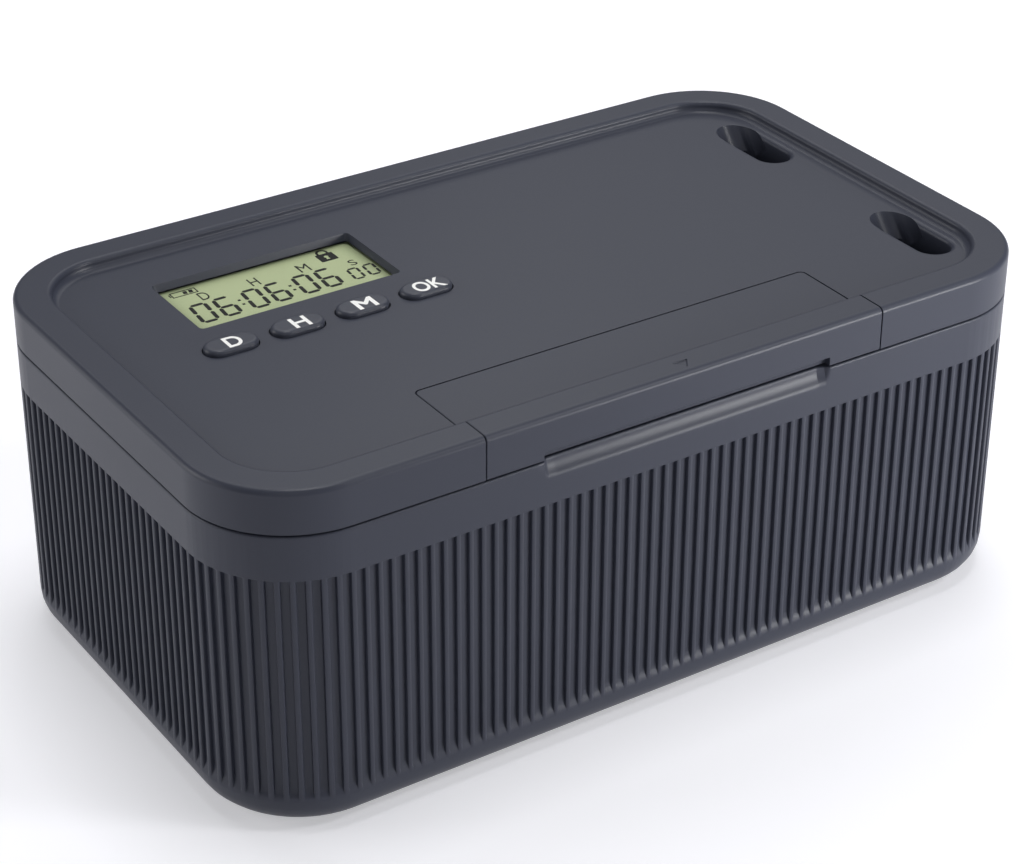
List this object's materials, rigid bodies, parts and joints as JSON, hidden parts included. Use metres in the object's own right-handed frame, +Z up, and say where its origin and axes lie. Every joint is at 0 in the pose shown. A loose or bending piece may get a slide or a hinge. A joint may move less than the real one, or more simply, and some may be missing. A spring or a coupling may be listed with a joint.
{
  "type": "timed lock container",
  "caption": "Lidded box with vertically ribbed sides, a recessed top with timer display, pill buttons and cable slots, a slide-off battery cover and a motor-driven lock bolt.",
  "frame": {"origin": "centre of the outer size in plan, hinge knuckles included, on the plane the feet rest on", "axes": "+X along the long front from the display end to the cable slots, -Y towards the front with the battery cover and finger groove, +Z up"},
  "size_m": [0.23, 0.14, 0.092],
  "materials": {
    "tub_plastic": "fine satin moulded texture",
    "lid_plastic": "fine satin moulded texture",
    "inner_plastic": "plain moulded",
    "button_plastic": "satin with white legends",
    "foot_rubber": "matt",
    "zinc_steel": "zinc plated",
    "lens_clear": "clear gloss",
    "display_glass": "olive green reflective liquid crystal glass",
    "frame_plastic": "plain moulded",
    "contact_rubber": "striped elastomer",
    "board_laminate": "green solder mask",
    "part_black": "moulded black",
    "cell_sleeve": "printed steel can",
    "spring_steel": "nickel plated",
    "wire_red": "insulation",
    "wire_blue": "insulation",
    "motor_metal": "plated steel and brass",
    "gear_brass": "machined"
  },
  "bodies": {
    "box": {"tub": "tub_plastic", "feet": "foot_rubber", "keeper_plate": "zinc_steel", "keeper_screws": "zinc_steel", "hinge_pins": "zinc_steel"},
    "lid": {"lid_shell": "lid_plastic", "inner_cover": "inner_plastic", "inner_cover_screws": "zinc_steel", "lock_housing": "inner_plastic", "housing_screws": "zinc_steel", "display_lens": "lens_clear", "display_panel": "display_glass", "display_frame": "frame_plastic", "display_contact_strips": "contact_rubber", "main_board": "board_laminate", "board_screws": "zinc_steel", "button_switches": "part_black", "control_chip": "part_black", "buzzer": "part_black", "battery_left": "cell_sleeve", "battery_right": "cell_sleeve", "battery_contact_plus": "spring_steel", "battery_contact_minus": "spring_steel", "battery_wires": "wire_red", "motor_wires": "wire_blue", "lock_motor": "motor_metal", "motor_clamp": "zinc_steel", "clamp_screws": "zinc_steel", "bolt_guide": "zinc_steel", "guide_screws": "zinc_steel"},
    "bolt": {"lock_bolt": "zinc_steel"},
    "pinion": {"drive_pinion": "gear_brass", "output_shaft": "zinc_steel"},
    "battery_cover": {"battery_cover": "lid_plastic"},
    "button_day": {"button_day": "button_plastic"},
    "button_hour": {"button_hour": "button_plastic"},
    "button_minute": {"button_minute": "button_plastic"},
    "button_ok": {"button_ok": "button_plastic"}
  },
  "joints": [
    {"name": "lid_hinge", "type": "hinge", "parent": "box", "child": "lid", "pos_m": [0, 0.067, 0.0807], "axis": [-1, 0, 0], "range_deg": [0, 100]},
    {"name": "bolt_slide", "type": "slide", "parent": "lid", "child": "bolt", "axis": [0, -1, 0], "range_m": [0, 0.007]},
    {"name": "pinion_spin", "type": "hinge", "parent": "lid", "child": "pinion", "pos_m": [0.003, -0.029, 0.0685], "axis": [-1, 0, 0], "range_deg": [-1, 85]},
    {"name": "cover_slide", "type": "slide", "parent": "lid", "child": "battery_cover", "axis": [0, -1, 0], "range_m": [0, 0.031]},
    {"name": "day_press", "type": "slide", "parent": "lid", "child": "button_day", "axis": [0, 0, -1], "range_m": [0, 0.0008], "stiffness_N_per_m": 400, "springref_m": -0.0004},
    {"name": "hour_press", "type": "slide", "parent": "lid", "child": "button_hour", "axis": [0, 0, -1], "range_m": [0, 0.0008], "stiffness_N_per_m": 400, "springref_m": -0.0004},
    {"name": "minute_press", "type": "slide", "parent": "lid", "child": "button_minute", "axis": [0, 0, -1], "range_m": [0, 0.0008], "stiffness_N_per_m": 400, "springref_m": -0.0004},
    {"name": "ok_press", "type": "slide", "parent": "lid", "child": "button_ok", "axis": [0, 0, -1], "range_m": [0, 0.0008], "stiffness_N_per_m": 400, "springref_m": -0.0004}
  ],
  "couplings": [
    {"joint": "pinion_spin", "follows": "bolt_slide", "rad_per_m": 208.33}
  ]
}
